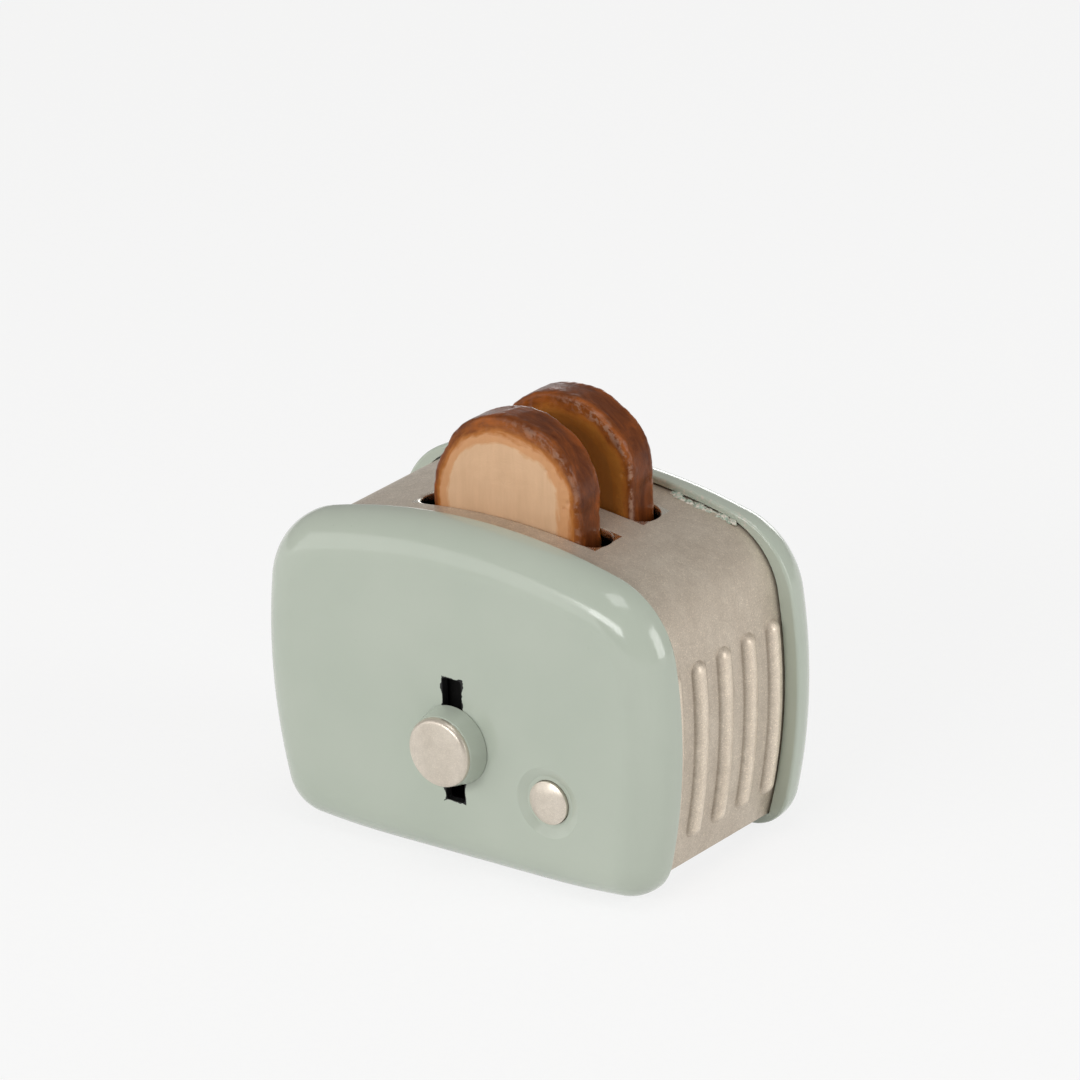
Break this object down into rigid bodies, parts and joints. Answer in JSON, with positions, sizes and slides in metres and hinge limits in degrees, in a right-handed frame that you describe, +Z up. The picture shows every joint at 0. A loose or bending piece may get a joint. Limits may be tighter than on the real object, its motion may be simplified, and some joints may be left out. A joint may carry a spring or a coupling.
{
  "type": "toy toaster",
  "caption": "Miniature play toaster with enamelled end panels, a ribbed metal wrap, a sliding lever knob, a push button and lift-out slices of bread.",
  "frame": {"origin": "middle of the bounding box at the surface the toaster stands on", "axes": "+X to the right seen from the front, the lever's face looks along -Y, +Z up"},
  "size_m": [0.056, 0.0358, 0.0516],
  "materials": {
    "mint_enamel": "gloss enamel",
    "champagne_paint": "fine metallic satin",
    "silver_paint": "metallic satin",
    "zinc_plate": "zinc plated",
    "black_coat": "matt black",
    "black_felt": "felt",
    "brass": "turned",
    "bread_resin": "painted resin, pale crumb and brown glossy crust"
  },
  "bodies": {
    "housing": {"front_panel": "mint_enamel", "rear_panel": "mint_enamel", "body_wrap": "champagne_paint", "base_plate": "zinc_plate", "base_screws": "zinc_plate", "tie_strap_left": "zinc_plate", "tie_strap_right": "zinc_plate", "guide_rod_left": "zinc_plate", "guide_rod_right": "zinc_plate", "button_bracket": "zinc_plate", "button_spring": "zinc_plate"},
    "lever": {"lever_knob": "mint_enamel", "knob_face": "silver_paint", "lever_stud": "zinc_plate", "stud_nut": "zinc_plate", "felt_washer": "black_felt", "slider_plate": "black_coat", "carriage_rivets": "brass", "bread_carriage": "black_coat", "guide_bush_left": "brass", "guide_bush_right": "brass"},
    "button": {"push_button": "silver_paint"},
    "front_slice": {"bread_slice_front": "bread_resin"},
    "rear_slice": {"bread_slice_rear": "bread_resin"}
  },
  "joints": [
    {"name": "lever_slide", "type": "slide", "parent": "housing", "child": "lever", "axis": [0, 0, 1], "range_m": [-0.0056, 0.0066]},
    {"name": "button_press", "type": "slide", "parent": "housing", "child": "button", "axis": [0, 1, 0], "range_m": [0, 0.0008], "stiffness_N_per_m": 100, "springref_m": -0.0008, "deforming": ["button_spring"]},
    {"name": "front_slice_lift", "type": "slide", "parent": "lever", "child": "front_slice", "axis": [0, 0, 1], "range_m": [0, 0.02]},
    {"name": "rear_slice_lift", "type": "slide", "parent": "lever", "child": "rear_slice", "axis": [0, 0, 1], "range_m": [0, 0.02]}
  ]
}
